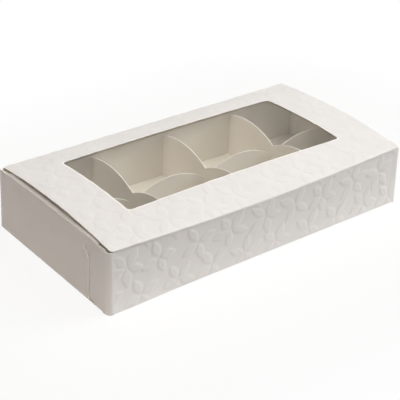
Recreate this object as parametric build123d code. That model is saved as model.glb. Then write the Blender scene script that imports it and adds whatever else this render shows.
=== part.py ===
from build123d import *
import os

# Outer size of the closed box, in millimetres
box_length = 160.0
box_depth = 82.0
box_height = 28.6

# The sheet and how it bends
card = 0.45             # thickness of the folded card
film = 0.15             # thickness of the clear window film
front_bow = 2.7         # how far the front wall's top edge bows out at mid length
lid_rise = 3.4          # how far the lid arches up at mid depth
corner_radius = 2.3     # outside of the soft folds at the front corners
back_fold = 0.9         # outside of the folds at the back corners
lid_inset = 1.3         # from the box's ends to the lid's
lid_corner = 1.2        # rounding of the lid's loose front corners

# Clearances and the overrun of cuts
lid_gap = 0.3           # between the lid and the edges under it
tuck_gap = 1.3          # between the front wall and the tuck flap, which swings out as it rises
fit_gap = 0.1           # where one card edge slots into another
insert_gap = 0.35       # between the divider tray and the carton
overrun = 1.0           # how far a cut runs past what it cuts

# Window in the lid, measured from the box's ends, its back and the ends of its front edge
window_left = 22.7
window_right = 21.1
window_front = 18.35
window_back = 13.3
window_corner = 2.0
film_lap = 6.0          # width of the film glued under the card round the window

# Tuck flap and dust flaps
tuck_depth = 12.0
tuck_inset = 4.0        # how far the tuck flap's ends stop short of the front wall's ends
tuck_corner = 5.0
dust_depth = 15.0
dust_rise = 0.4         # how far the dust flaps lie above the lid's back crease, under its arch
dust_front_inset = 7.5  # from the box's front corners to the dust flap's crease
dust_back_inset = 6.0   # the same at the back
dust_front_taper = 4.0  # how far the flap's front side draws in towards its free edge
dust_back_taper = 9.0   # the same at the back, near the lid's crease
dust_corner = 4.0

# Lock tabs at the front corners: along the end wall from the corner, up from the base, and down from the box's top
tab_reach = 12.6        # corner to slit
tab_slit_low = 1.9
tab_foot = 0.5
tab_foot_reach = 7.2
tab_low_reach = 11.0
tab_shoulder_reach = 8.6
tab_top_drop = 0.9      # the tab's top edge falls from here at the corner
tab_shoulder_drop = 4.2
tab_slit_drop = 8.9
tab_hook = 7.0          # part of the tab that lies inside the end wall
tab_hook_chamfer = 2.5
slit_tail_reach = 4.1   # the slit's slanting ends, which let the hook slide in
slit_tail_rise = 4.8
slit_width = 0.35

# Corner flaps, which turn in from the back wall behind the end walls
flap_reach = 15.0
flap_foot = 0.5
flap_top_drop = 1.6
flap_chamfer = 4.0

# Divider tray
floor_height = 5.5      # top of the raised floor
frame_gap = 0.6         # between the hollow frames and the dust flaps
back_frame_width = 9.0
front_frame_width = 7.25
foot_slot_height = 0.8  # cut along the foot of each cell's wall, where the sheet is folded
foot_slot_margin = 3.0  # card left at each end of that cut

# Dividers: how far the crests of their lobes rise above or drop below the frames, and how deep the notches are
columns = 4
long_crest_drop = 2.7
long_notch_depth = 7.0
cross_crest_rise = 0.6
cross_crest_reach = 19.0    # from the lengthwise divider to the crest of each cross lobe
cross_notch_depth = 5.4
divider_foot_gap = 0.5  # under a cross divider, between its feet
divider_foot = 5.0      # length of each foot

half_length = box_length / 2
half_depth = box_depth / 2
lid_seat = box_height - card
front_top = lid_seat - lid_gap
dust_top = lid_seat + dust_rise
end_top = dust_top - card
end_outer = half_length - card
end_inner = end_outer - card
lid_half = half_length - lid_inset
wall_inner = half_depth - card
tuck_face = tuck_gap - wall_inner
tab_top = box_height - tab_top_drop
tab_shoulder = box_height - tab_shoulder_drop
tab_slit_high = box_height - tab_slit_drop
flap_top = box_height - flap_top_drop

insert_half = end_inner - card - insert_gap
back_leg = wall_inner - insert_gap
front_leg = wall_inner - tuck_gap - card - insert_gap
back_cell = back_leg - back_frame_width
front_cell = front_leg - front_frame_width
column_pitch = 2 * insert_half / columns
floor_under = floor_height - card
frame_height = end_top - frame_gap
long_crest = frame_height - long_crest_drop
long_notch = long_crest - long_notch_depth
cross_crest = frame_height + cross_crest_rise
cross_notch = cross_crest - cross_notch_depth
halving_height = (floor_height + long_notch) / 2    # where the crossing slots meet


def slab(low, high):
    """A box between two opposite corners."""
    size = [b - a for a, b in zip(low, high)]
    middle = [(a + b) / 2 for a, b in zip(low, high)]
    return Pos(*middle) * Box(*size)


def end_plate(outline, x_low, x_high):
    """A plate square to the length, from a Y-Z outline."""
    face = make_face(Polyline(*outline, close=True))
    face = Plane.YZ.offset(x_low) * face
    return extrude(face, x_high - x_low, dir=(1, 0, 0))


def arch(under_offset, y):
    """Height of a surface parallel to the lid's underside, under_offset above it, at depth y."""
    chord = box_depth + front_bow
    radius = (chord**2 / 4 + lid_rise**2) / (2 * lid_rise)
    from_middle = y + front_bow / 2
    return lid_seat + lid_rise - radius + ((radius + under_offset)**2 - from_middle**2)**0.5


def arched_sheet(low_offset, high_offset):
    """A sheet over the whole box that follows the lid's arch between two offsets."""
    front = -half_depth - front_bow
    middle = -front_bow / 2
    back = half_depth
    low = [(y, arch(low_offset, y)) for y in (front, middle, back)]
    high = [(y, arch(high_offset, y)) for y in (back, middle, front)]
    lower = ThreePointArc(*low)
    upper = ThreePointArc(*high)
    sides = [Line(low[2], high[0]), Line(high[2], low[0])]
    face = make_face([lower, sides[0], upper, sides[1]])
    sheet = extrude(Plane.YZ * face, half_length, both=True)
    return sheet


def prism(face):
    """An upright prism through everything that the box holds."""
    height = box_height + lid_rise + 2 * overrun
    return extrude(Pos(0, 0, -overrun) * face, height, dir=(0, 0, 1))


def base_panel():
    base = RectangleRounded(2 * end_inner, 2 * wall_inner, corner_radius)
    return extrude(base, card)


def wall_strip(bow):
    """Plan of the front wall between its corner folds."""
    end = half_length - corner_radius
    outer = -half_depth
    inner = outer + card
    near = ThreePointArc((-end, outer), (0, outer - bow), (end, outer))
    far = ThreePointArc((end, inner), (0, inner - bow), (-end, inner))
    return make_face([near, Line((end, outer), (end, inner)), far, Line((-end, inner), (-end, outer))])


def front_wall():
    straight_share = 1 / 100
    foot = wall_strip(front_bow * straight_share)
    top = Pos(0, 0, front_top) * wall_strip(front_bow)
    return loft([foot, top], ruled=True)


def back_wall():
    end = end_inner - back_fold
    return slab((-end, wall_inner, 0), (end, half_depth, lid_seat))


def slit_outline():
    """The slit that takes one lock tab: upright, with a slanting tail at each end, as a Y-Z outline."""
    near = tab_reach - card - fit_gap
    far = tab_reach + fit_gap
    tail = far + slit_tail_reach
    foot_tail = near - slit_tail_reach
    low = tab_slit_low - fit_gap
    high = tab_slit_high + fit_gap
    foot = card
    return [(near, low), (near, high), (tail - slit_width, high + slit_tail_rise),
            (tail, high + slit_tail_rise), (far, high), (far, low),
            (foot_tail + slit_width, foot), (foot_tail, foot)]


def left_end_wall():
    """End wall with a slit for the lock tab of the front corner."""
    wall = slab((-end_outer, corner_radius - half_depth, 0), (-end_inner, half_depth, end_top))
    outline = [(along - half_depth, up) for along, up in slit_outline()]
    return wall - end_plate(outline, -end_outer - overrun, -end_inner + overrun)


def corner_fold(radius, face, height):
    """The quarter-round fold at a front left corner, out to the face, as a solid of one height."""
    centre = (radius + face, radius - half_depth)
    ring = Circle(radius) - Circle(radius - card)
    quarter = Pos(-radius / 2, -radius / 2) * Rectangle(radius, radius)
    return extrude(Pos(*centre) * (ring & quarter), height)


def front_left_lock_tab():
    """Tab that wraps round the corner, dives through the slit and lies inside the end wall."""
    fold_end = corner_radius
    passage = tab_reach - card
    outside = [(fold_end, tab_foot), (tab_foot_reach, tab_foot), (tab_low_reach, tab_slit_low),
               (passage, tab_slit_low), (passage, tab_slit_high), (tab_shoulder_reach, tab_shoulder),
               (fold_end, tab_top)]
    hook_end = tab_reach + tab_hook
    hook = [(tab_reach, tab_slit_low), (hook_end - tab_hook_chamfer, tab_slit_low),
            (hook_end, tab_slit_low + tab_hook_chamfer), (hook_end, tab_slit_high - tab_hook_chamfer),
            (hook_end - tab_hook_chamfer, tab_slit_high), (tab_reach, tab_slit_high)]
    through = [(passage, tab_slit_low), (tab_reach, tab_slit_low),
               (tab_reach, tab_slit_high), (passage, tab_slit_high)]
    plates = [(outside, -half_length, -end_outer), (through, -half_length, card - end_inner),
              (hook, -end_inner, card - end_inner)]
    tab = corner_fold(corner_radius, -half_length, front_top)
    for outline, x_low, x_high in plates:
        tab += end_plate([(along - half_depth, up) for along, up in outline], x_low, x_high)
    taper = [(0, front_top), (fold_end, tab_top), (fold_end, front_top + overrun),
             (0, front_top + overrun)]
    return tab - end_plate([(along - half_depth, up) for along, up in taper],
                           -half_length - overrun, card - end_outer)


def back_left_corner_flap():
    """Flap that turns in from the back wall and lies against the inside of the end wall."""
    end = flap_reach - flap_chamfer
    outline = [(back_fold, flap_foot), (end, flap_foot), (flap_reach, flap_foot + flap_chamfer),
               (flap_reach, flap_top - flap_chamfer), (end, flap_top), (back_fold, flap_top)]
    fold = corner_fold(back_fold, -end_inner, flap_top)
    plate = end_plate([(along - half_depth, up) for along, up in outline], -end_inner, card - end_inner)
    return mirror(fold + plate, Plane.XZ)


def window_plan(lap):
    """The window's plan, widened by lap on every side."""
    left = window_left - half_length - lap
    right = half_length - window_right + lap
    front = window_front - half_depth - lap
    back = half_depth - window_back + lap
    middle = ((left + right) / 2, (front + back) / 2)
    return Pos(*middle) * RectangleRounded(right - left, back - front, window_corner)


def lid_panel():
    """Arched lid with its bowed front edge, rounded front corners and window."""
    front = ThreePointArc((-lid_half, -half_depth), (0, -half_depth - front_bow), (lid_half, -half_depth))
    sides = [Line((lid_half, -half_depth), (lid_half, half_depth)),
             Line((lid_half, half_depth), (-lid_half, half_depth)),
             Line((-lid_half, half_depth), (-lid_half, -half_depth))]
    plan = make_face([front] + sides)
    plan = fillet(plan.vertices().sort_by(Axis.Y)[:2], lid_corner)
    return (arched_sheet(0, card) & prism(plan)) - prism(window_plan(0))


def window_film():
    return arched_sheet(-film, 0) & prism(window_plan(film_lap))


def lid_tuck_flap():
    """Flap that hangs from the lid's front crease behind the front wall."""
    end = half_length - corner_radius - tuck_inset
    top = arch(0, tuck_face)
    bottom = box_height - tuck_depth
    flap = slab((-end, tuck_face, bottom), (end, tuck_face + card, top))
    corners = flap.edges().filter_by(Axis.Y).sort_by(Axis.Z)[:2]
    return fillet(corners, tuck_corner)


def left_dust_flap():
    """Flap folded in from the top of the left end wall, under the lid."""
    front = dust_front_inset - half_depth
    back = half_depth - dust_back_inset
    inner = dust_depth - end_outer
    plan = Polyline((-end_outer, front), (inner, front + dust_front_taper),
                    (inner, back - dust_back_taper), (-end_outer, back), close=True)
    face = make_face(plan)
    face = fillet(face.vertices().sort_by(Axis.X)[-2:], dust_corner)
    return extrude(Pos(0, 0, end_top) * face, card, dir=(0, 0, 1))


def insert_floor():
    return slab((-insert_half, -front_cell, floor_under), (insert_half, back_cell, floor_height))


def insert_frame(cell, leg):
    """Hollow frame at the back: a cell wall, a ledge and a leg that stands on the base."""
    frame = slab((-insert_half, cell, floor_under), (insert_half, cell + card, frame_height))
    frame += slab((-insert_half, cell, frame_height - card), (insert_half, leg, frame_height))
    frame += slab((-insert_half, leg - card, card), (insert_half, leg, frame_height))
    slot = column_pitch - 2 * foot_slot_margin
    for column in range(columns):
        x = (column + 1 / 2) * column_pitch - insert_half
        frame -= slab((x - slot / 2, cell - overrun, floor_height),
                      (x + slot / 2, cell + card + overrun, floor_height + foot_slot_height))
    return frame


def scalloped(start, pitch, count, notch, crest):
    """A strip's top edge: lobes of one pitch that meet in low notches, as points and arcs."""
    arcs = []
    for lobe in range(count):
        low = start + lobe * pitch
        arcs.append(ThreePointArc((low, notch), (low + pitch / 2, crest), (low + pitch, notch)))
    return arcs


def cross_lobes(front, back):
    """A cross strip's top edge: two lobes that rise steeply from the middle and fall gently to the ends."""
    radius = (cross_crest_reach**2 + cross_notch_depth**2) / (2 * cross_notch_depth)
    drops = [radius - (radius**2 - (abs(end) - cross_crest_reach)**2)**0.5 for end in (front, back)]
    middle = (0, cross_notch)
    return [ThreePointArc((front, cross_crest - drops[0]), (-cross_crest_reach, cross_crest), middle),
            ThreePointArc(middle, (cross_crest_reach, cross_crest), (back, cross_crest - drops[1]))]


def strip_face(edges, foot):
    """Face under a scalloped edge, down to the strip's foot."""
    start = edges[0] @ 0
    end = edges[-1] @ 1
    sides = [Line(end, (end.X, foot)), Line((end.X, foot), (start.X, foot)), Line((start.X, foot), start)]
    return make_face(edges + sides)


def long_divider():
    """Lengthwise strip with one lobe for each column and a slot down from each notch."""
    edges = scalloped(-insert_half, column_pitch, columns, long_notch, long_crest)
    face = strip_face(edges, floor_height)
    strip = extrude(Plane.XZ * face, card / 2, both=True)
    slot = card / 2 + fit_gap
    for crossing in range(1, columns):
        x = crossing * column_pitch - insert_half
        strip -= slab((x - slot, -card, halving_height), (x + slot, card, long_crest + overrun))
    return strip


def cross_divider(number):
    """Cross strip with a lobe for each row, slotted up from its foot over the lengthwise strip."""
    front = fit_gap - front_cell
    back = back_cell - fit_gap
    face = strip_face(cross_lobes(front, back), floor_height)
    strip = extrude(Plane.YZ * face, card / 2, both=True)
    slot = card / 2 + fit_gap
    strip -= slab((-card, -slot, floor_height - overrun), (card, slot, halving_height))
    for low, high in ((front + divider_foot, -divider_foot), (divider_foot, back - divider_foot)):
        strip -= slab((-card, low, floor_height - overrun), (card, high, floor_height + divider_foot_gap))
    return Pos(number * column_pitch - insert_half, 0, 0) * strip


def model():
    """Every node of the box by name, with the tray centred on the origin in plan."""
    left_tab = front_left_lock_tab()
    left_flap = back_left_corner_flap()
    left_end = left_end_wall()
    left_dust = left_dust_flap()
    nodes = {
        "base_panel": base_panel(),
        "front_wall": front_wall(),
        "back_wall": back_wall(),
        "left_end_wall": left_end,
        "right_end_wall": mirror(left_end, Plane.YZ),
        "front_left_lock_tab": left_tab,
        "front_right_lock_tab": mirror(left_tab, Plane.YZ),
        "back_left_corner_flap": left_flap,
        "back_right_corner_flap": mirror(left_flap, Plane.YZ),
        "left_dust_flap": left_dust,
        "right_dust_flap": mirror(left_dust, Plane.YZ),
        "lid_panel": lid_panel(),
        "lid_tuck_flap": lid_tuck_flap(),
        "window_film": window_film(),
        "insert_floor": insert_floor(),
        "insert_back_frame": insert_frame(back_cell, back_leg),
        "insert_front_frame": mirror(insert_frame(front_cell, front_leg), Plane.XZ),
        "long_divider": long_divider(),
    }
    for number in range(1, columns):
        nodes[f"cross_divider_{number}"] = cross_divider(number)
    return nodes


def main():
    os.makedirs("parts", exist_ok=True)
    centring = Pos(0, front_bow / 2, 0)
    for name, solid in model().items():
        export_step(centring * solid, f"parts/{name}.step")


main()
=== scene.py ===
import math
import random

import bpy
import numpy as np
from mathutils import Matrix, Vector


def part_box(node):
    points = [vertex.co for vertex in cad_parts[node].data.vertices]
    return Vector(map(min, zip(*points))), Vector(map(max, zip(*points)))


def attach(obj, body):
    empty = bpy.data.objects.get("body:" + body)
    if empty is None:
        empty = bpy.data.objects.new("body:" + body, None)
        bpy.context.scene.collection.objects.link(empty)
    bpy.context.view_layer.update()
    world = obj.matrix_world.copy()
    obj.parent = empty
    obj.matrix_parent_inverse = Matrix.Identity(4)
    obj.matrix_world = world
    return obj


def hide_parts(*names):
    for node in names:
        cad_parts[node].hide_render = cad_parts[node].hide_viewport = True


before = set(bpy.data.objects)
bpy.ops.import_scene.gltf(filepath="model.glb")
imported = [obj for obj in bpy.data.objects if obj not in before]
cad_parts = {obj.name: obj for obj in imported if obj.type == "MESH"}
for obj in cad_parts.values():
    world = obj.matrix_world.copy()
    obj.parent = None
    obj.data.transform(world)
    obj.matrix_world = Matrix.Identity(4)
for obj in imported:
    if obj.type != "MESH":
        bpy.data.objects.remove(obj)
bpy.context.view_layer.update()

MM = 0.001
UP = (0, 0, 1)

# The view of the photograph: angles in degrees, place in metres, lens and sensor in millimetres
VIEW_AZIMUTH = -39.10
VIEW_ELEVATION = 29.589
VIEW_ROLL = 2.34
VIEW_PLACE = (-0.29173, -0.35450, 0.26787)
VIEW_LENS = 106.606
VIEW_SENSOR = 36.0
VIEW_CLIP = 0.01

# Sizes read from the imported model
LID_LOW, LID_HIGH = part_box("lid_panel")
WALL_LOW, WALL_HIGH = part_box("front_wall")
FILM_LOW, FILM_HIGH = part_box("window_film")
LONG_LOW, LONG_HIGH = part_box("long_divider")
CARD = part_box("base_panel")[1].z            # thickness of the card
HALF = -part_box("front_left_lock_tab")[0].x  # half the box's length
BACK = LID_HIGH.y                           # outside of the back wall
FRONT = WALL_HIGH.y - CARD                  # outside of the front wall at its ends
BOW = FRONT - WALL_LOW.y                    # how much further out the front wall is at mid length
SEAT = LID_LOW.z                            # underside of the lid at its creases
WALL_TOP = WALL_HIGH.z
BACK_WALL_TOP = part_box("back_wall")[1].z
FOLD = HALF - WALL_HIGH.x                   # outside of the soft folds at the front corners
MIDDLE_Y = (LID_LOW.y + LID_HIGH.y) / 2
HALF_DEPTH = (LID_HIGH.y - LID_LOW.y) / 2

# Card edges and meshes
FINE = 0.42 * MM            # mesh pitch of the faces with pressed leaves
PINCH = 0.09 * MM           # how much the sheet's edges are crushed by the cut, on each face
EDGE_ROW = 0.12 * MM        # width of the crushed strip
PLATE_BEVEL = 0.07 * MM
FIT_GAP = 0.1 * MM          # where one card edge slots into another
SKIN_GAP = 0.02 * MM        # where one card face lies on another

# Lid. Left and right are those of someone who faces the front wall
LID_CORNER = 1.2 * MM       # rounding of its front corners
LID_BACK_CORNER = 0.3 * MM
LID_SHIFT = 1.0 * MM        # how far it sits to the right
LID_SKEW = 0.7 * MM         # how far its front edge sits to the left of its back edge
END_SKEW = 0.7 * MM         # the same again, for the right end alone
END_RISES = (2.63 * MM, 2.11 * MM)  # its arch at the left and right ends
FRONT_STEEPNESS = 1.25      # above 1, the arch is flatter near the front edge
CROWN = 1.66 * MM           # how much more it arches at mid length
CROWN_LEAN = 0.35           # how much of that goes from the back half to the front half
FRONT_SAG = 0.2 * MM        # how far the front edge sinks onto the front wall
SAG_FADE = 4.0 * MM
BEND_WIDTH = 5.5 * MM       # strip along the front edge that the tuck fold turns up
BEND_LEAST = 0.5 * MM       # its width at the lid's left end
BEND_START = -72.0 * MM     # along X, where it begins to widen and has its full width
BEND_FULL = 0.0 * MM
BEND_SINK = 0.3 * MM        # how far the lid sinks behind it
BEND_FADE = 22.0 * MM
ROLL = 0.30 * MM            # rounding of the folds at the front and back edges
ROLL_STEPS = (1.0, 0.7, 0.45, 0.22, 0.07, 0.0)  # mesh rows over that rounding
FOLD_WEAR_AND_HIGHLIGHT = 0.5 * MM        # strip along the front fold in the pale cut colour: cracked coating and a painted highlight
END_HIGHLIGHT = 0.35 * MM        # strip beside the cut ends in the pale cut colour: a painted highlight

# Window and film
FILM_LAP = 6.0 * MM
FILM_THICKNESS = 0.1 * MM
WINDOW_CORNER = 2.0 * MM
WINDOW_HIGHLIGHT_RIM = 0.75 * MM      # strip round the window in the pale cut colour: a painted highlight
WINDOW_SKEW = 0.7 * MM      # how far the front of its right end sits to the left
WINDOW_TURN = 0.5 * MM      # how far the back of its left end sits to the right
SKEW_REACH = 0.3            # how far past the middle both reach, as a share of the half length
WINDOW_BACK_IN = 0.3 * MM
WINDOW_FRONT_OUT = 0.3 * MM

# Walls: the end walls lean in, and the front wall's foot stands forward of its top corners
END_FOOT = 79.95 * MM
END_LEAN = 0.6 * MM
FOOT_OUT = 0.6 * MM
CORNER_OUT = 0.8 * MM       # how much further the foot stands out at the front left corner
CORNER_REACH = (0.42, 0.55)     # where that begins and over what span it grows, as shares of the half length
BACK_FOLD = 0.9 * MM        # outside of the folds at the back corners
SCORE_HEIGHT = 1.0 * MM     # pressed crease line above the foot of the walls
SCORE_WIDTH = 0.22 * MM
SCORE_DEPTH = 0.12 * MM
FOOT_RADIUS = 0.6 * MM
LEAF_MARGINS = (3.0 * MM, 2.0 * MM, 1.2 * MM)   # where the leaves fade out at a wall's ends, foot and top

# Lock tabs, as distances along the end wall from the corner and heights
TAB_REACH = 12.6 * MM
TAB_FOOT = 0.5 * MM
TAB_FOOT_REACH = 7.2 * MM
TAB_LOW_REACH = 11.0 * MM
TAB_SLIT_LOW = 1.9 * MM
TAB_TOP_REACHES = (2.3 * MM, 5.1 * MM, 8.6 * MM, 12.1 * MM)
TAB_TOP_HEIGHTS = (27.95 * MM, 27.0 * MM, 24.4 * MM, 19.7 * MM)
TAB_SLIT_HIGH = 19.7 * MM
TAB_BEND = 0.4 * MM         # inside of the bend into the slit
SLIT_TAIL_REACH = 4.1 * MM
SLIT_TAIL_RISE = 4.8 * MM
SLIT_WIDTH = 0.35 * MM
SLIT_SHADOW = 0.08 * MM     # gap between the tab and the slit's back edge
LIP_LIFT = 0.42 * MM        # how far the card behind the slit is pushed out
LIP_STANDOFF = 0.015 * MM   # how far it stands clear of the end wall elsewhere
LIP_WIDTH = 2.2 * MM
LIP_LEAST = 0.2 * MM        # its width where it meets the box's foot
LIP_PITCH = 0.35 * MM       # mesh rows along the slit
LIP_SHARES = (0.0, 0.05, 0.14, 0.25, 0.4, 0.55, 0.7, 0.85, 1.0)
LIP_FADE = 4                # steps of that pitch over which the lip's two ends rise
TAIL_LIFT = 1.8             # how much more the slit's two tails stand open

# Corner flaps behind the end walls, dust flaps and tuck flap
FLAP_CHAMFER = 4.0 * MM
FLAP_FOOT = 0.5 * MM
RIDGE_RADIUS = 0.6 * MM     # rounded ridge of the dust flap's crease
RIDGE_ANGLES = (-20, 115)
RIDGE_HEIGHT = 28.3 * MM
RIDGE_IN = 0.5 * MM
RIDGE_FADES = (6.0 * MM, 22.0 * MM)  # where it dies away at the front and back
RIDGE_DROP = 0.45 * MM
DUST_TIP_HEIGHT = 28.4 * MM
DUST_TAPERS = (4.0 * MM, 9.0 * MM)
DUST_CORNER = 4.0 * MM
TUCK_CORNER = 5.0 * MM
TUCK_GAP = 0.03 * MM        # between the tuck flap and the lid's underside

# Divider tray and dividers
COLUMNS = 4
FOOT_SLOT = 0.8 * MM        # cut along the foot of the cell walls
FOOT_MARGIN = 3.0 * MM      # card left at each end of that cut
FRAME_SINK = 0.1 * MM       # how far the ledges have settled
FRAME_FOLD = 0.7 * MM
LONG_NOTCH_DEPTH = 7.0 * MM
CROSS_NOTCH_DEPTH = 5.4 * MM
CROSS_CREST_REACH = 19.0 * MM
HALVING_GAP = 0.03 * MM
FOOT_GAP = 0.5 * MM         # under a cross divider, between its feet
FOOT_LENGTH = 5.0 * MM

# Pressed leaves
LEAF_HEIGHT = 0.29 * MM
LID_LEAF_SHARE = 0.5        # how high the lid's leaves stand, next to the walls'
LEAF_PITCH = 17.2 * MM      # from cluster to cluster along a row
ROW_SQUEEZE = 1.2           # the rows lie closer than that by this much
ROW_START = 0.35
CLUSTER_JITTER = (0.16, 0.06)   # along and across the row, as shares of the pitch
CLUSTER_SIZES = (4, 5, 5)
LEAF_TURN = 0.12            # unevenness of the leaves' directions
LEAF_LENGTH = 8.8 * MM
LEAF_LENGTHS = (0.8, 1.08)  # range of lengths and widths, next to the named ones
LEAF_WIDTH = 5.2 * MM
LEAF_WIDTHS = (0.85, 1.1)
LEAF_STEM = 0.9 * MM
LEAF_EDGE = 0.4             # share of the half width over which a leaf's edge rises
VEIN_WIDTH = 0.28 * MM
VEIN_DEPTH = 0.3
LEAF_SEED = 11

# Colours, as linear RGB. Card colours are those of its palest spots
CARD_COLOUR = (0.84, 0.815, 0.80)
CUT_AND_HIGHLIGHT_COLOUR = (0.98, 0.97, 0.95)         # bare fibre at the cuts, made paler than it is so that it also serves as a painted highlight along the edges
BACK_COLOUR = (0.92, 0.87, 0.785)       # uncoated inside of the carton
INSERT_COLOUR = (0.88, 0.835, 0.755)
CELL_FACE_SHADE_COLOUR = (0.79, 0.745, 0.67)  # darker copy of the insert card on the tray's cell faces: painted shade
DIVIDER_COLOUR = (0.93, 0.88, 0.80)
# The table's colour: pale beside the box and dark further out, a painted pool of light that stands for the
# lamps' falloff
FLOOR_COLOUR = (0.92, 0.91, 0.90)
TABLE_PAINTED_DARK = (0.30, 0.29, 0.27)
FILM_COLOUR = (0.95, 0.91, 0.85)
FILM_SHINE = 0.05           # reflection of the film seen face on and at a glancing angle
FILM_GLANCE = 0.5

# Stage and light
TABLE_SIZE = 3.0
TABLE_NEAR = 0.01           # distances from the box over which the table's colour fades from pale to dark: a painted pool of light
TABLE_FAR = 0.12
TABLE_WHITE = 0.85          # how much of the table's own white the camera sees beside the box
# Room light from each side and from above, as the side and its linear colour
ROOM_LIGHT = (
    ((-1, 0, 0), (0.18, 0.10, 0.035)),
    ((1, 0, 0), (0.15, 0.15, 0.15)),
    ((0, -1, 0), (0.15, 0.15, 0.15)),
    ((0, 1, 0), (0.15, 0.15, 0.15)),
    ((0, 0, 1), (0.15, 0.15, 0.15)),
)
# Square lamps that face the box: place, size in metres, power in watts and colour
LAMPS = {
    "side_key": ((1.30, -0.45, 0.85), 0.8, 14.3, (0.94, 0.97, 1.0)),
    "right_top": ((0.66, -0.24, 1.21), 0.7, 3.9, (1.0, 1.0, 1.0)),
    "left_top": ((-0.35, -0.30, 1.30), 0.9, 9.0, (1.0, 0.968, 0.90)),
}


def smooth(t):
    """Smooth step from 0 to 1 as t goes from 0 to 1."""
    t = np.clip(t, 0, 1)
    return t * t * (3 - 2 * t)


# Pressed leaf pattern

def leaf_clusters(x_low, x_high, y_low, y_high, seed):
    """Leaves over a rectangle, in staggered clusters: centre x, y, direction, length and width of each."""
    rng = random.Random(seed)
    along, across = CLUSTER_JITTER
    leaves = []
    rows = int((y_high - y_low) / LEAF_PITCH * ROW_SQUEEZE) + 3
    columns = int((x_high - x_low) / LEAF_PITCH) + 3
    for row in range(-1, rows):
        for column in range(-1, columns):
            shift = 0.5 * (row % 2)
            x = x_low + (column + shift + rng.uniform(-along, along)) * LEAF_PITCH
            y = y_low + (row + ROW_START + rng.uniform(-across, across)) * LEAF_PITCH / ROW_SQUEEZE
            turn = rng.uniform(0, math.tau)
            count = rng.choice(CLUSTER_SIZES)
            for k in range(count):
                angle = turn + math.tau * (k + rng.uniform(-LEAF_TURN, LEAF_TURN)) / count
                length = LEAF_LENGTH * rng.uniform(*LEAF_LENGTHS)
                leaves.append((x, y, angle, length, LEAF_WIDTH * rng.uniform(*LEAF_WIDTHS)))
    return leaves


def pressed(u, v, leaves):
    """Height of the pressed pattern at the points u, v of a flat panel."""
    height = np.zeros_like(u)
    for x, y, angle, length, width in leaves:
        along = (u - x) * math.cos(angle) + (v - y) * math.sin(angle)
        across = -(u - x) * math.sin(angle) + (v - y) * math.cos(angle)
        share = (along - LEAF_STEM) / length
        near = (share > 0) & (share < 1) & (np.abs(across) < width)
        if not near.any():
            continue
        s = share[near]
        half_width = width / 2 * np.sin(math.pi * s**0.85) + 1e-6
        inside = 1 - np.abs(across[near]) / half_width
        body = 0.55 * smooth(inside / LEAF_EDGE) + 0.45 * smooth(inside)
        vein = VEIN_DEPTH * np.exp(-(across[near] / VEIN_WIDTH)**2) * smooth(inside / 0.3)
        height[near] = np.maximum(height[near], body - vein)
    return height * LEAF_HEIGHT


LID_LEAVES = leaf_clusters(-HALF, HALF, FRONT, BACK, LEAF_SEED)
WALL_LEAVES = leaf_clusters(-HALF, HALF, 0.0, WALL_TOP, LEAF_SEED + 1)


# Mesh building

def link_object(name, data):
    obj = bpy.data.objects.new(name, data)
    bpy.context.scene.collection.objects.link(obj)
    return obj


def make_object(name, points, faces, face_slots, materials, sharp=40):
    """Mesh object from points and faces, smooth shaded, sharp where faces meet at more than an angle."""
    mesh = bpy.data.meshes.new(name)
    mesh.from_pydata([tuple(p) for p in points], [], faces)
    for material in materials:
        mesh.materials.append(material)
    mesh.polygons.foreach_set("material_index", face_slots)
    mesh.polygons.foreach_set("use_smooth", [True] * len(faces))
    mesh.set_sharp_from_angle(angle=math.radians(sharp))
    mesh.update()
    return link_object(name, mesh)


def finish_piece(obj, body, slot, *nodes):
    """Puts a piece on its body and hides the model's parts that it stands for."""
    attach(obj, body)
    if nodes:
        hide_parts(*nodes)
    return obj


def toward(outer, direction):
    """The same outward normal at every point of a grid."""
    return np.broadcast_to(np.array(direction, dtype=float), outer.shape)


def sheet(name, outer, normal, thickness, materials, closed=False, pinch=(True, True, True, True), drop=0.0,
          highlight_strips=0, flip=False):
    """A card sheet from a grid of outer points and their outward normals. closed joins the grid's first
    index into a ring, and flip turns that index round. pinch says which of the four edges are cut after
    that: low u, high u, low v, high v. drop lowers the outer face alone, and highlight_strips is how many
    strips beside a cut low v edge take the pale cut colour as a painted highlight. The last of three
    materials goes on the inner face."""
    if flip:
        outer = outer[::-1]
        normal = normal[::-1]
    rows, columns = outer.shape[:2]
    crush = np.zeros((rows, columns, 1))
    if pinch[0] and not closed:
        crush[0, :] = PINCH
    if pinch[1] and not closed:
        crush[-1, :] = PINCH
    if pinch[2]:
        crush[:, 0] = PINCH
    if pinch[3]:
        crush[:, -1] = PINCH
    top = outer - normal * (crush + drop)
    under = outer - normal * (thickness - crush)
    points = np.concatenate([top.reshape(-1, 3), under.reshape(-1, 3)])
    total = rows * columns
    faces = []
    slots = []
    steps = rows if closed else rows - 1
    inner = len(materials) - 1 if len(materials) > 2 else 0
    for i in range(steps):
        a = i * columns
        b = ((i + 1) % rows) * columns
        for j in range(columns - 1):
            faces.append((a + j, b + j, b + j + 1, a + j + 1))
            faces.append((total + a + j, total + a + j + 1, total + b + j + 1, total + b + j))
            # Strips beside the cut low v edge take the pale cut colour: a painted highlight
            slots += [1 if j < highlight_strips else 0, inner]
    for i in range(steps):
        a = i * columns
        b = ((i + 1) % rows) * columns
        faces.append((a, total + a, total + b, b))
        last = columns - 1
        faces.append((b + last, total + b + last, total + a + last, a + last))
        slots += [1 if pinch[2] else 0, 1 if pinch[3] else 0]
    if not closed:
        last = (rows - 1) * columns
        for j in range(columns - 1):
            faces.append((j + 1, total + j + 1, total + j, j))
            faces.append((last + j, total + last + j, total + last + j + 1, last + j + 1))
            slots += [1 if pinch[0] else 0, 1 if pinch[1] else 0]
    return make_object(name, points, faces, slots, materials)


def edged(low, high, count):
    """Places from low to high, with a close extra row at each end for the crushed edge."""
    inner = np.linspace(low + EDGE_ROW, high - EDGE_ROW, count)
    return np.concatenate([[low], inner, [high]])


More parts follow.
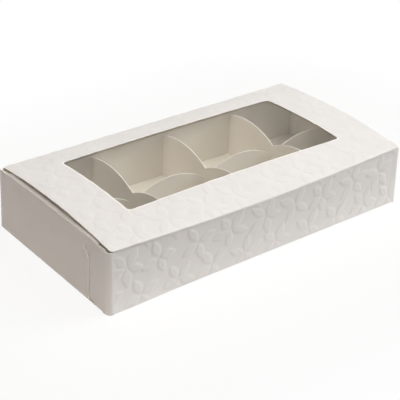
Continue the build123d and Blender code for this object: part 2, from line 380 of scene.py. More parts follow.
def plate(name, outlines, matrix, thickness, materials, back=0):
    """A flat card plate from 2D outlines, holes included, with softened edges. matrix takes the outline's
    plane to its place, with the plate centred on that plane. back is the sign of the side that shows the
    card's back."""
    curve = bpy.data.curves.new(name, "CURVE")
    curve.dimensions = "2D"
    curve.fill_mode = "BOTH"
    curve.bevel_depth = PLATE_BEVEL
    curve.bevel_resolution = 1
    curve.offset = -PLATE_BEVEL
    curve.extrude = thickness / 2 - PLATE_BEVEL
    for outline in outlines:
        spline = curve.splines.new("POLY")
        spline.points.add(len(outline) - 1)
        for point, (x, y) in zip(spline.points, outline):
            point.co = (x, y, 0, 1)
        spline.use_cyclic_u = True
    holder = link_object(name + "_outline", curve)
    bpy.context.view_layer.update()
    mesh = bpy.data.meshes.new_from_object(holder.evaluated_get(bpy.context.evaluated_depsgraph_get()))
    bpy.data.objects.remove(holder)
    bpy.data.curves.remove(curve)
    mesh.materials.clear()
    for material in materials:
        mesh.materials.append(material)
    for polygon in mesh.polygons:
        polygon.material_index = 0 if abs(polygon.normal.z) > 0.9 else 1
        if polygon.normal.z * back > 0.9:
            polygon.material_index = 2
        polygon.use_smooth = True
    mesh.set_sharp_from_angle(angle=math.radians(25))
    mesh.transform(matrix)
    return link_object(name, mesh)


def axes_matrix(right, up, origin):
    """Takes x to right, y to up and the middle to origin."""
    right = Vector(right)
    up = Vector(up)
    out = right.cross(up)
    matrix = Matrix.Identity(4)
    for row in range(3):
        matrix[row][0] = right[row]
        matrix[row][1] = up[row]
        matrix[row][2] = out[row]
        matrix[row][3] = origin[row]
    return matrix


# Materials

def new_material(name):
    material = bpy.data.materials.new(name)
    material.use_nodes = True
    nodes = material.node_tree.nodes
    return material, nodes, material.node_tree.links, nodes["Principled BSDF"]


def add_noise(nodes, links, vector, **settings):
    """Noise over a vector socket, with its inputs set by name."""
    noise = nodes.new("ShaderNodeTexNoise")
    for name, value in settings.items():
        noise.inputs[name].default_value = value
    links.new(vector, noise.inputs["Vector"])
    return noise.outputs["Fac"]


def add_relief(nodes, links, shader, height, strength, distance):
    """Bump on a shader from a height socket."""
    bump = nodes.new("ShaderNodeBump")
    bump.inputs["Strength"].default_value = strength
    bump.inputs["Distance"].default_value = distance
    links.new(height, bump.inputs["Height"])
    links.new(bump.outputs["Normal"], shader.inputs["Normal"])


def spread(nodes, links, amount, low, high):
    """Takes a 0 to 1 socket to the range from low to high."""
    scale = nodes.new("ShaderNodeMapRange")
    scale.inputs["To Min"].default_value = low
    scale.inputs["To Max"].default_value = high
    links.new(amount, scale.inputs["Value"])
    return scale.outputs["Result"]


def card_material(name, colour, roughness, fibre, mottle, gloss):
    """Matte card: faint cloudy mottling in the colour, fine fibres in the surface."""
    material, nodes, links, shader = new_material(name)
    place = nodes.new("ShaderNodeTexCoord").outputs["Object"]
    cloud = add_noise(nodes, links, place, Scale=90.0, Detail=5.0)
    ramp = nodes.new("ShaderNodeValToRGB")
    dark, light = ramp.color_ramp.elements
    dark.position = 0.35
    dark.color = (*[c * (1 - mottle) for c in colour], 1)
    light.position = 0.65
    light.color = (*colour, 1)
    links.new(cloud, ramp.inputs["Fac"])
    links.new(ramp.outputs["Color"], shader.inputs["Base Color"])
    stretch = nodes.new("ShaderNodeMapping")
    stretch.inputs["Scale"].default_value = (0.35, 1.0, 1.0)
    links.new(place, stretch.inputs["Vector"])
    grain = add_noise(nodes, links, place, Scale=2600.0, Detail=4.0)
    fibres = add_noise(nodes, links, stretch.outputs["Vector"], Scale=900.0, Distortion=1.5)
    blend = nodes.new("ShaderNodeMath")
    blend.operation = "ADD"
    links.new(grain, blend.inputs[0])
    links.new(fibres, blend.inputs[1])
    add_relief(nodes, links, shader, blend.outputs["Value"], fibre, 0.05 * MM)
    rough = spread(nodes, links, cloud, roughness - 0.06, roughness + 0.06)
    links.new(rough, shader.inputs["Roughness"])
    shader.inputs["Specular IOR Level"].default_value = gloss
    return material


def film_material():
    """Clear film: see-through, faintly hazy, with a soft reflection that grows at a glancing angle."""
    material, nodes, links, shader = new_material("clear_film")
    shader.inputs["Base Color"].default_value = (*FILM_COLOUR, 1)
    shader.inputs["Metallic"].default_value = 0.35
    place = nodes.new("ShaderNodeTexCoord").outputs["Object"]
    ripple = add_noise(nodes, links, place, Scale=28.0, Detail=1.0)
    add_relief(nodes, links, shader, ripple, 0.12, 0.6 * MM)
    links.new(spread(nodes, links, ripple, 0.05, 0.16), shader.inputs["Roughness"])
    clear = nodes.new("ShaderNodeBsdfTransparent")
    clear.inputs["Color"].default_value = (0.985, 0.985, 0.98, 1)
    facing = nodes.new("ShaderNodeLayerWeight")
    facing.inputs["Blend"].default_value = 0.5
    glance = nodes.new("ShaderNodeMath")
    glance.operation = "POWER"
    glance.inputs[1].default_value = 5.0
    links.new(facing.outputs["Facing"], glance.inputs[0])
    mix = nodes.new("ShaderNodeMixShader")
    links.new(spread(nodes, links, glance.outputs["Value"], FILM_SHINE, FILM_GLANCE), mix.inputs["Fac"])
    links.new(clear.outputs["BSDF"], mix.inputs[1])
    links.new(shader.outputs["BSDF"], mix.inputs[2])
    links.new(mix.outputs["Shader"], nodes["Material Output"].inputs["Surface"])
    return material


# Name, colour, roughness, strength of the fibres, depth of the mottling and gloss
CARD_FACE = card_material("white_card", CARD_COLOUR, 0.52, 0.25, 0.03, 0.25)
CARD_BACK = card_material("card_back", BACK_COLOUR, 0.7, 0.4, 0.04, 0.1)
# Cut faces, and the strips beside some cuts: bare fibre made paler, partly a painted highlight
CARD_CUT_AND_HIGHLIGHT = card_material("card_cut_edge_and_highlight", CUT_AND_HIGHLIGHT_COLOUR, 0.75, 0.4, 0.02, 0.1)
INSERT_FACE = card_material("insert_card", INSERT_COLOUR, 0.6, 0.3, 0.04, 0.1)
INSERT_CUT_AND_HIGHLIGHT = card_material("insert_cut_edge_and_highlight", CUT_AND_HIGHLIGHT_COLOUR, 0.75, 0.4, 0.02, 0.1)
CELL_FACE_SHADE = card_material("insert_card_cell_shade", CELL_FACE_SHADE_COLOUR, 0.6, 0.3, 0.04, 0.1)
DIVIDER_FACE = card_material("divider_card", DIVIDER_COLOUR, 0.6, 0.3, 0.04, 0.1)
FILM = film_material()
CARTON = [CARD_FACE, CARD_CUT_AND_HIGHLIGHT, CARD_BACK]
INSERT = [INSERT_FACE, INSERT_CUT_AND_HIGHLIGHT]
DIVIDER = [DIVIDER_FACE, INSERT_CUT_AND_HIGHLIGHT]


# Lid

def front_edge(x):
    """Depth of the bowed front edge at x."""
    return FRONT - BOW * (1 - (x / HALF)**2)


def lid_under(x, y):
    """Height of the lid's underside: an arch over the depth that rises towards mid length, with a strip
    along the front edge that the fold turns up."""
    side = np.clip(np.abs(y - MIDDLE_Y) / HALF_DEPTH, 0, 1)
    rise = END_RISES[0] + (END_RISES[1] - END_RISES[0]) * (x + HALF) / (2 * HALF)
    lean = 1 - CROWN_LEAN * (y - MIDDLE_Y) / HALF_DEPTH
    arch = (1 - side**2)**np.where(y < MIDDLE_Y, FRONT_STEEPNESS, 1.0)
    crown = CROWN * lean * (1 - (x / HALF)**2) * (1 - side**4)
    height = SEAT + rise * arch + crown
    behind = y - front_edge(x)
    share = smooth((x - BEND_START) / (BEND_FULL - BEND_START))
    width = BEND_WIDTH * share + BEND_LEAST
    lift = np.where(behind < width, behind / width, 1 - smooth((behind - width) / BEND_FADE))
    sag = FRONT_SAG * (1 - smooth(behind / SAG_FADE))
    return height - BEND_SINK * share * np.clip(lift, 0, 1) - sag


def side_points(corner, along, inward, length, radius, count):
    """Points of one side of a rounded rectangle, from the middle of one corner's arc to the next."""
    corner = np.array(corner)
    along = np.array(along)
    inward = np.array(inward)
    points = []
    for step in range(count):
        d = length * step / count
        from_end = min(d, length - d)
        if from_end >= radius:
            points.append(corner + along * d)
            continue
        sign = 1 if d < length / 2 else -1
        start = corner if sign == 1 else corner + along * length
        centre = start + radius * (sign * along + inward)
        lean = math.pi / 4 * (1 - from_end / radius)
        points.append(centre - radius * (inward * math.cos(lean) + sign * along * math.sin(lean)))
    return points


def ring_outline(x_low, x_high, y_low, y_high, radii, counts):
    """A rounded rectangle, anticlockwise from its front left corner. radii are front and back."""
    width = x_high - x_low
    depth = y_high - y_low
    front, back = radii
    points = side_points((x_low, y_low), (1, 0), (0, 1), width, front, counts[0])
    points += side_points((x_high, y_low), (0, 1), (-1, 0), depth, front, counts[1])
    points += side_points((x_high, y_high), (-1, 0), (0, -1), width, back, counts[0])
    points += side_points((x_low, y_high), (0, -1), (1, 0), depth, front, counts[1])
    return np.array(points)


def repaint(obj, index, choose):
    """Gives the faces that choose accepts, by centre and normal, another of the object's materials."""
    for polygon in obj.data.polygons:
        if choose(polygon.center, polygon.normal):
            polygon.material_index = index


def rolled(distance):
    """How far a fold of the roll's radius drops the outer face at a distance from the edge."""
    inner = np.clip(ROLL - distance, 0, ROLL)
    return ROLL - np.sqrt(ROLL**2 - inner**2)


def lid_skew(x, y):
    """How far to the left the lid's cut ends sit at a place on the lid."""
    ahead = np.clip((BACK - y) / (BACK - FRONT), 0, 1)
    return LID_SKEW * ahead + END_SKEW * (x > 0) * ahead**2


def build_lid():
    left = LID_LOW.x + LID_SHIFT
    right = LID_HIGH.x + LID_SHIFT
    counts = (int((right - left) / FINE), int((BACK - FRONT) / FINE))
    window_front = FILM_LOW.y + FILM_LAP - WINDOW_FRONT_OUT
    window_back = FILM_HIGH.y - FILM_LAP - WINDOW_BACK_IN
    window = ring_outline(FILM_LOW.x + FILM_LAP, FILM_HIGH.x - FILM_LAP, window_front, window_back,
                          (WINDOW_CORNER, WINDOW_CORNER), counts)
    aside = window[:, 0] / HALF
    behind = (window[:, 1] - FRONT) / (2 * HALF_DEPTH)
    window[:, 0] -= WINDOW_SKEW * np.clip(aside + SKEW_REACH, 0, 1) * 2 * (1 - behind)
    window[:, 0] += WINDOW_TURN * np.clip(SKEW_REACH - aside, 0, 1) * np.clip(2 * (behind - SKEW_REACH), 0, 1)
    rim = ring_outline(left, right, FRONT, BACK, (LID_CORNER, LID_BACK_CORNER), counts)
    at_front = (rim[:, 1] - FRONT) / (BACK - FRONT) < 0.02
    rim[:, 1] += (front_edge(rim[:, 0]) - FRONT) * at_front
    rim[:, 0] -= lid_skew(rim[:, 0], rim[:, 1])
    span = np.linalg.norm(rim - window, axis=1).mean()
    near = np.array([0, EDGE_ROW, WINDOW_HIGHLIGHT_RIM])
    far = span - ROLL * np.array(ROLL_STEPS)
    steps = np.concatenate([near, np.linspace(near[-1], far[0], int(span / FINE))[1:-1], far]) / span
    plan = window[:, None, :] + (rim - window)[:, None, :] * steps[None, :, None]
    x, y = plan[..., 0], plan[..., 1]
    leaves = (pressed(x, y, LID_LEAVES) - LEAF_HEIGHT / 2) * LID_LEAF_SHARE
    z = lid_under(x, y) + CARD + leaves
    outer = np.stack([x, y, z], axis=-1)
    folds = rolled(y - front_edge(x)) + rolled(BACK - y)
    drop = np.minimum(folds, ROLL)[..., None]
    # The two strips beside the window's edge take the pale cut colour as a painted highlight
    lid = sheet("lid_card", outer, toward(outer, UP), CARD, CARTON, closed=True,
                pinch=(False, False, True, False), drop=drop, highlight_strips=2)

    # Strips of the lid's top in the pale cut colour: a painted highlight beside the cut ends, and cracked
    # coating plus a painted highlight along the front fold
    def worn_and_highlit(c, n):
        skew = lid_skew(c.x, c.y)
        ends = c.x < left + END_HIGHLIGHT - skew or c.x > right - END_HIGHLIGHT - skew
        fold = 0 <= c.y - front_edge(c.x) < FOLD_WEAR_AND_HIGHLIGHT
        return n.z > 0.1 and (ends or fold)

    repaint(lid, 1, worn_and_highlit)
    finish_piece(lid, "lid", "carton_card", "lid_panel")


def build_film():
    x, y = np.meshgrid(edged(FILM_LOW.x, FILM_HIGH.x, 120), edged(FILM_LOW.y, FILM_HIGH.y, 60), indexing="ij")
    z = lid_under(x, y) - LEAF_HEIGHT / 2 - SKIN_GAP
    outer = np.stack([x, y, z], axis=-1)
    film = sheet("clear_window", outer, toward(outer, UP), FILM_THICKNESS, [FILM, FILM], pinch=(False,) * 4)
    finish_piece(film, "lid", "clear_film", "window_film")


# Walls, corners and tabs

def end_face(z):
    """Distance of an end wall's outer face from mid length."""
    return END_FOOT - END_LEAN * z / WALL_TOP


def build_wall(name, node, sign, bow, top, out, end):
    """Front or back wall: sign is -1 for the front, out is how far its foot stands forward, and end takes a
    height to the wall's half length."""
    shares = np.linspace(-1, 1, int(2 * HALF / FINE))
    share, z = np.meshgrid(shares, edged(0, top, int(top / FINE)), indexing="ij")
    x = share * end(z)
    at_ends, at_foot, at_top = LEAF_MARGINS
    fade = smooth((1 - np.abs(share)) * HALF / at_ends) * smooth(z / at_foot) * smooth((top - z) / at_top)
    face = FRONT if sign < 0 else BACK
    begin, span = CORNER_REACH
    splay = CORNER_OUT * smooth((-x - begin * HALF) / (span * HALF)) * (out > 0)
    bulge = bow * (1 - share**2) * z / top + (out + splay) * (1 - z / top)
    bulge += (pressed(x * -sign, z, WALL_LEAVES) - LEAF_HEIGHT / 2) * fade
    score = np.exp(-((z - SCORE_HEIGHT) / SCORE_WIDTH)**2) * SCORE_DEPTH
    roll = FOOT_RADIUS - np.sqrt(np.maximum(FOOT_RADIUS**2 - np.maximum(FOOT_RADIUS - z, 0)**2, 0))
    outer = np.stack([x, face + sign * (bulge - score - roll), z], axis=-1)
    wall = sheet(name, outer, toward(outer, (0, sign, 0)), CARD, CARTON,
                 pinch=(False, False, False, sign < 0), flip=sign > 0)
    finish_piece(wall, "tray", "carton_card", node)


def quarter_turn(steps=6, first=1):
    """Cosine and sine at the steps of a quarter turn, from the step named first."""
    angles = [math.pi / 2 * k / steps for k in range(first, steps + 1)]
    return [(math.cos(angle), math.sin(angle)) for angle in angles]


def corner_stations(radius):
    """A quarter turn in plan: distance along the end wall, depth under its face, and the two parts of the
    outward normal, along the end wall and out of it."""
    return [(radius * (1 - c), radius * (1 - s), c, s) for c, s in quarter_turn(13, 0)]


def corner_sheet(name, node, side, end, stations, face, limits, out):
    """Card that turns round a corner and runs along the end wall. side is -1 at the left end, end is -1 at
    the front. limits gives the card's low and high edge at a distance along."""
    rows = []
    normals = []
    wall_face = FRONT if end < 0 else BACK
    for along, depth, across_y, across_x in stations:
        low, high = limits(along)
        z = edged(low, high, 40)
        forward = out * (1 - z / WALL_TOP) * max(0.0, 1 - along / FOLD)
        rows.append(np.stack([side * (face(z) - depth), wall_face - end * along + end * forward, z], axis=-1))
        normals.append(np.tile((side * across_x, end * across_y, 0.0), (len(z), 1)))
    flip = side * end < 0
    piece = sheet(name, np.array(rows), np.array(normals), CARD, CARTON, pinch=(flip, not flip, True, True),
                  flip=flip)
    finish_piece(piece, "tray", "carton_card", node)


def build_tab(name, node, side):
    """Front corner fold and lock tab, up to where it dives through the slit."""
    turn = TAB_REACH - CARD - SLIT_SHADOW - TAB_BEND
    radius = TAB_BEND + CARD
    stations = corner_stations(FOLD)
    stations += [(along, 0.0, 0.0, 1.0) for along in np.linspace(FOLD, turn, 26)[1:]]
    for c, s in quarter_turn():
        stations.append((turn + radius * s, radius * (1 - c), -s, c))

    def limits(along):
        low_reaches = [FOLD, 1.3 * FOLD, TAB_FOOT_REACH, TAB_LOW_REACH]
        low = np.interp(along, low_reaches, [0.0, TAB_FOOT, TAB_FOOT, TAB_SLIT_LOW])
        return low, np.interp(along, [0.0, *TAB_TOP_REACHES], [WALL_TOP, *TAB_TOP_HEIGHTS])

    out = FOOT_OUT + (CORNER_OUT if side < 0 else 0)
    corner_sheet(name, node, side, -1, stations, lambda z: end_face(z) + CARD, limits, out)


def build_corner_flap(name, node, side):
    """Back corner fold and the flap that lies against the inside of the end wall."""
    low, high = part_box(node)
    reach = high.y - low.y
    stations = corner_stations(BACK_FOLD)
    stations += [(along, 0.0, 0.0, 1.0) for along in np.linspace(BACK_FOLD, reach, 24)[1:]]

    def limits(along):
        corner = max(0.0, along - (reach - FLAP_CHAMFER))
        return (FLAP_FOOT if along > BACK_FOLD else 0.0) + corner, high.z - corner

    corner_sheet(name, node, side, 1, stations, lambda z: end_face(z) - CARD - SKIN_GAP, limits, 0.0)


def slit():
    """The end wall's slit as distances along from the front corner and heights, and its back edge alone."""
    near = TAB_REACH - CARD - SLIT_SHADOW
    far = TAB_REACH + FIT_GAP
    low = TAB_SLIT_LOW - FIT_GAP
    high = TAB_SLIT_HIGH + FIT_GAP
    tail = (far + SLIT_TAIL_REACH, high + SLIT_TAIL_RISE)
    foot = (near - SLIT_TAIL_REACH, CARD)
    outline = [(near, low), (near, high), (tail[0] - SLIT_WIDTH, tail[1]), tail, (far, high), (far, low),
               (foot[0] + SLIT_WIDTH, foot[1]), foot]
    return outline, [tail, (far, high), (far, low), (foot[0] + SLIT_WIDTH, foot[1])]


def build_end_wall(name, node, side):
    low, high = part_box(node)
    back = high.y - FIT_GAP / 2
    outline = [(low.y, low.z), (back, low.z), (back, high.z), (low.y, high.z)]
    hole = [(FRONT + along, up) for along, up in slit()[0]]
    matrix = axes_matrix((0, 1, 0), (-side * END_LEAN / WALL_TOP, 0, 1), (side * (END_FOOT - CARD / 2), 0, 0))
    wall = plate(name, [outline, hole], matrix, CARD, CARTON, -side)
    finish_piece(wall, "tray", "carton_card", node)


def build_slit_lip(name, node, side):
    """Card behind the slit, pushed out by the tab, with its cut face and the strips beside the slit in the
    pale cut colour as a painted highlight.
    """
    corners = [Vector(p) for p in slit()[1]]
    places = []
    for start, end in zip(corners, corners[1:]):
        steps = max(2, int((end - start).length / LIP_PITCH))
        places += [start.lerp(end, k / steps) for k in range(steps)]
    places.append(corners[-1])
    total = len(places)
    rows = []
    for k, place in enumerate(places):
        ahead = places[min(k + 3, total - 1)] - places[max(k - 3, 0)]
        across = Vector((-ahead.y, ahead.x)).normalized()
        ends = smooth(k / LIP_FADE) * smooth((total - 1 - k) / LIP_FADE)
        width = min(LIP_WIDTH, max(place.y - LIP_LEAST, LIP_LEAST))
        row = []
        for share in LIP_SHARES:
            spot = place + across * width * share
            tail = spot.y > TAB_SLIT_HIGH or spot.y < TAB_SLIT_LOW
            lift = LIP_LIFT * (TAIL_LIFT if tail else 1.0) * ends * (1 - share)**2 + LIP_STANDOFF
            row.append((side * (end_face(spot.y) + lift), FRONT + spot.x, spot.y))
        rows.append(row)
    outer = np.array(rows)
    # The three strips beside the slit take the pale cut colour: a painted highlight
    lip = sheet(name, outer, toward(outer, (side, 0, 0)), CARD, CARTON, pinch=(False, False, True, False),
                highlight_strips=3, flip=side < 0)
    finish_piece(lip, "tray", "carton_card", node)


def rounded(points, radius, steps=8):
    """An outline with its corners rounded by tangent arcs."""
    result = []
    count = len(points)
    for k in range(count):
        before = Vector(points[k - 1])
        here = Vector(points[k])
        after = Vector(points[(k + 1) % count])
        a = (before - here).normalized()
        b = (after - here).normalized()
        half = a.angle(b) / 2
        reach = radius / math.tan(half)
        centre = here + (a + b).normalized() * radius / math.sin(half)
        start = here + a * reach - centre
        end = here + b * reach - centre
        sweep = start.angle_signed(end)
        for step in range(steps + 1):
            spun = start.copy()
            spun.rotate(Matrix.Rotation(-sweep * step / steps, 2))
            result.append(tuple(centre + spun))
    return result


def build_dust_flap(name, node, body, side):
    """Flap under the lid, with the rounded ridge of its crease along the end wall's top."""
    low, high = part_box(node)
    tip = min(abs(low.x), abs(high.x))
    centre = end_face(WALL_TOP) - RIDGE_IN
    angles = np.radians(np.linspace(*RIDGE_ANGLES, 12))
    flat = np.linspace(centre - RIDGE_RADIUS, tip, 40)
    rows = []
    normals = []
    for share in np.linspace(0, 1, 90):
        y = low.y + share * (high.y - low.y)
        fade = smooth((y - low.y) / RIDGE_FADES[0]) * smooth((high.y - y) / RIDGE_FADES[1])
        sink = RIDGE_DROP * (1 - fade)
        row = []
        row_normals = []
        for angle in angles:
            c = math.cos(angle)
            s = math.sin(angle)
            row.append((centre + RIDGE_RADIUS * c, RIDGE_HEIGHT - sink + RIDGE_RADIUS * s))
            row_normals.append((side * c, 0.0, s))
        start = row[-1]
        for d in flat:
            along = (start[0] - d) / (start[0] - tip)
            row.append((d, start[1] + (DUST_TIP_HEIGHT - sink - start[1]) * along))
            row_normals.append((0.0, 0.0, 1.0))
        points = []
        for d, z in row:
            along = min(1.0, max(0.0, (centre - d) / (centre - tip)))
            near_tip = max(0.0, tip + DUST_CORNER - d)
            corner = DUST_CORNER - math.sqrt(max(DUST_CORNER**2 - near_tip**2, 0.0))
            front = low.y + DUST_TAPERS[0] * along + corner
            back = high.y - DUST_TAPERS[1] * along - corner
            points.append((side * d, front + share * (back - front), z))
        rows.append(points)
        normals.append(row_normals)
    flap = sheet(name, np.array(rows), np.array(normals), CARD, CARTON, pinch=(True, True, False, True),
                 flip=side < 0)
    finish_piece(flap, body, "carton_card", node)


def build_tuck_flap():
    """Flap behind the front wall, cut to meet the lid's arched underside."""
    low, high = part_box("lid_tuck_flap")
    rows = []
    for x in edged(low.x, high.x, 160):
        inner = max(0.0, abs(x) - (high.x - TUCK_CORNER))
        foot = low.z + TUCK_CORNER - math.sqrt(max(TUCK_CORNER**2 - inner**2, 0.0))
        top = float(lid_under(x, low.y)) - TUCK_GAP
        rows.append([(x, low.y, z) for z in edged(foot, top, 28)])
    outer = np.array(rows)
    flap = sheet("tuck_flap_card", outer, toward(outer, (0, -1, 0)), CARD, CARTON,
                 pinch=(True, True, True, False))
    finish_piece(flap, "tuck_flap", "carton_card", "lid_tuck_flap")


def build_base():
    half = END_FOOT - CARD
    front = FRONT - FOOT_OUT + CARD
    back = BACK - CARD
    outline = [(-half, front), (half, front), (half, back), (-half, back)]
    base = plate("base_card", [rounded(outline, FOLD)], Matrix.Translation((0, 0, CARD / 2)), CARD, CARTON, 1)
    finish_piece(base, "tray", "carton_card", "base_panel")


# Divider tray and dividers

def build_insert_floor():
    low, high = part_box("insert_floor")
    outline = [(low.x, low.y), (high.x, low.y), (high.x, high.y), (low.x, high.y)]
    floor = plate("insert_floor_card", [outline], Matrix.Translation((0, 0, (low.z + high.z) / 2)),
                  high.z - low.z, INSERT)
    finish_piece(floor, "tray", "insert_card", "insert_floor")


def build_insert_frame(name, node, side):
    """Hollow frame: cell wall with the cuts along its foot, rounded folds, ledge and leg. side is -1 in
    front."""
    low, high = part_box(node)
    top = high.z - FRAME_SINK
    shoulder = top - FRAME_FOLD
    cell = low.y if side > 0 else high.y
    leg = high.y if side > 0 else low.y
    slot_top = low.z + CARD + FOOT_SLOT
    width = abs(leg - cell)
    path = [(0.0, z, -1.0, 0.0) for z in np.linspace(slot_top, shoulder, 20)]
    for c, s in quarter_turn():
        path.append((FRAME_FOLD * (1 - c), shoulder + FRAME_FOLD * s, -c, s))
    for y in np.linspace(FRAME_FOLD, width - FRAME_FOLD, 6)[1:]:
        path.append((y, top, 0.0, 1.0))
    for c, s in quarter_turn():
        path.append((width - FRAME_FOLD * (1 - s), shoulder + FRAME_FOLD * c, s, c))
    for z in np.linspace(shoulder, CARD, 16)[1:]:
        path.append((width, z, 1.0, 0.0))
    xs = edged(low.x, high.x, 160)
    outer = np.array([[(x, cell + side * y, z) for y, z, _, _ in path] for x in xs])
    normal = np.array([[(0.0, side * ny, nz) for _, _, ny, nz in path] for x in xs])
    frame_piece = sheet(name, outer, normal, CARD, INSERT, flip=side < 0)
    # Faces turned towards the cells take a darker copy of the insert card: painted shade, which leaves the
    # ledge and its fold lighter
    frame_piece.data.materials.append(CELL_FACE_SHADE)
    repaint(frame_piece, 2, lambda c, n: n.y * side < -0.7)
    finish_piece(frame_piece, "tray", "insert_card", node)
    pitch = (high.x - low.x) / COLUMNS
    for crossing in range(COLUMNS + 1):
        left = max(low.x, low.x + crossing * pitch - FOOT_MARGIN)
        right = min(high.x, low.x + crossing * pitch + FOOT_MARGIN)
        outline = [(left, low.z), (right, low.z), (right, slot_top), (left, slot_top)]
        matrix = axes_matrix((1, 0, 0), UP, (0, cell + side * CARD / 2, 0))
        foot = plate(f"{name}_foot_{crossing}", [outline], matrix, CARD, INSERT)
        finish_piece(foot, "tray", "insert_card", node)


def arc_points(start, middle, end, count):
    """Points on the circle through three points, from start to end, ends included."""
    ax, ay = start
    bx, by = middle
    cx, cy = end
    d = 2 * (ax * (by - cy) + bx * (cy - ay) + cx * (ay - by))
    ux = ((ax**2 + ay**2) * (by - cy) + (bx**2 + by**2) * (cy - ay) + (cx**2 + cy**2) * (ay - by)) / d
    uy = ((ax**2 + ay**2) * (cx - bx) + (bx**2 + by**2) * (ax - cx) + (cx**2 + cy**2) * (bx - ax)) / d
    radius = math.hypot(ax - ux, ay - uy)
    first = math.atan2(ay - uy, ax - ux)
    last = math.atan2(cy - uy, cx - ux)
    return [(ux + radius * math.cos(first + (last - first) * k / count),
             uy + radius * math.sin(first + (last - first) * k / count)) for k in range(count + 1)]


def build_long_divider():
    low, high = LONG_LOW, LONG_HIGH
    pitch = (high.x - low.x) / COLUMNS
    notch = high.z - LONG_NOTCH_DEPTH
    meet = (low.z + notch) / 2
    slot = CARD / 2 + HALVING_GAP
    outline = [(low.x, low.z), (high.x, low.z)]
    for column in reversed(range(COLUMNS)):
        left = low.x + column * pitch
        lobe = arc_points((left + pitch, notch), (left + pitch / 2, high.z), (left, notch), 40)
        if column < COLUMNS - 1:
            lobe = [(left + pitch - slot, meet)] + [p for p in lobe if p[0] <= left + pitch - slot]
        if column:
            lobe = [p for p in lobe if p[0] >= left + slot] + [(left + slot, meet)]
        outline += lobe
    matrix = axes_matrix((1, 0, 0), UP, (0, (low.y + high.y) / 2, 0))
    divider = plate("long_divider_card", [outline], matrix, CARD, DIVIDER)
    finish_piece(divider, "tray", "insert_card", "long_divider")


def build_cross_divider(number):
    node = f"cross_divider_{number}"
    low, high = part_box(node)
    centre = (LONG_LOW.y + LONG_HIGH.y) / 2
    notch = high.z - CROSS_NOTCH_DEPTH
    meet = (low.z + LONG_HIGH.z - LONG_NOTCH_DEPTH) / 2
    slot = CARD / 2 + HALVING_GAP
    foot = low.z + FOOT_GAP
    outline = [(low.y, low.z), (low.y + FOOT_LENGTH, low.z), (low.y + FOOT_LENGTH, foot),
               (centre - FOOT_LENGTH, foot), (centre - FOOT_LENGTH, low.z), (centre - slot, low.z),
               (centre - slot, meet), (centre + slot, meet), (centre + slot, low.z),
               (centre + FOOT_LENGTH, low.z), (centre + FOOT_LENGTH, foot), (high.y - FOOT_LENGTH, foot),
               (high.y - FOOT_LENGTH, low.z), (high.y, low.z)]
    radius = (CROSS_CREST_REACH**2 + CROSS_NOTCH_DEPTH**2) / (2 * CROSS_NOTCH_DEPTH)
    ends = []
    for y in (high.y, low.y):
        past = abs(y - centre) - CROSS_CREST_REACH
        ends.append((y, high.z - radius + math.sqrt(radius**2 - past**2)))
    outline += arc_points(ends[0], (centre + CROSS_CREST_REACH, high.z), (centre, notch), 40)
    outline += arc_points((centre, notch), (centre - CROSS_CREST_REACH, high.z), ends[1], 40)[1:]
    matrix = axes_matrix((0, 1, 0), UP, ((low.x + high.x) / 2, 0, 0))
    divider = plate(f"{node}_card", [outline], matrix, CARD, DIVIDER)
    finish_piece(divider, "tray", "insert_card", node)


# Stage, lights and camera

def seen_rays(nodes, links):
    """1 for camera rays and for rays that a glossy or clear surface sends on, 0 for the rays that light
    the object."""
    path = nodes.new("ShaderNodeLightPath")
    total = path.outputs["Is Camera Ray"]
    for kind in ("Is Glossy Ray", "Is Transmission Ray"):
        node = nodes.new("ShaderNodeMath")
        node.operation = "ADD"
        node.use_clamp = True
        links.new(total, node.inputs[0])
        links.new(path.outputs[kind], node.inputs[1])
        total = node.outputs["Value"]
    return total


def build_stage():
    """Table top: its colour painted pale beside the box and dark further out as a pool of light, lit and
    shadowed beside the box, and seen as white further away.
    """
    size = TABLE_SIZE
    corners = [(-size, -size, 0), (size, -size, 0), (size, size, 0), (-size, size, 0)]
    mesh = bpy.data.meshes.new("floor")
    mesh.from_pydata(corners, [], [(0, 1, 2, 3)])
    floor = link_object("floor", mesh)
    material, nodes, links, shader = new_material("floor")
    shader.inputs["Roughness"].default_value = 0.9
    shader.inputs["Specular IOR Level"].default_value = 0.1
    place = nodes.new("ShaderNodeTexCoord")
    reach = place.outputs["Object"]
    footprint = (HALF, HALF_DEPTH, 0)
    distance = (("ABSOLUTE", None), ("SUBTRACT", footprint), ("MAXIMUM", (0, 0, 0)), ("LENGTH", None))
    for operation, value in distance:
        step = nodes.new("ShaderNodeVectorMath")
        step.operation = operation
        links.new(reach, step.inputs[0])
        if value:
            step.inputs[1].default_value = value
        reach = step.outputs["Value" if operation == "LENGTH" else "Vector"]
    far = nodes.new("ShaderNodeMapRange")
    far.interpolation_type = "SMOOTHSTEP"
    far.inputs["From Min"].default_value = TABLE_NEAR
    far.inputs["From Max"].default_value = TABLE_FAR
    links.new(reach, far.inputs["Value"])
    # Painted pool of light: the table's colour fades from pale to dark away from the box
    shade = nodes.new("ShaderNodeMix")
    shade.data_type = "RGBA"
    shade.inputs["A"].default_value = (*FLOOR_COLOUR, 1)
    shade.inputs["B"].default_value = (*TABLE_PAINTED_DARK, 1)
    links.new(far.outputs["Result"], shade.inputs["Factor"])
    links.new(shade.outputs["Result"], shader.inputs["Base Color"])
    glow = nodes.new("ShaderNodeEmission")
    glow.inputs["Color"].default_value = (1, 1, 1, 1)
    glow.inputs["Strength"].default_value = 1.0
    seen = seen_rays(nodes, links)
    share = nodes.new("ShaderNodeMath")
    share.operation = "MULTIPLY"
    links.new(seen, share.inputs[0])
    links.new(spread(nodes, links, far.outputs["Result"], TABLE_WHITE, 1.0), share.inputs[1])
    mix = nodes.new("ShaderNodeMixShader")
    links.new(share.outputs["Value"], mix.inputs["Fac"])
    links.new(shader.outputs["BSDF"], mix.inputs[1])
    links.new(glow.outputs["Emission"], mix.inputs[2])
    links.new(mix.outputs["Shader"], nodes["Material Output"].inputs["Surface"])
    mesh.materials.append(material)


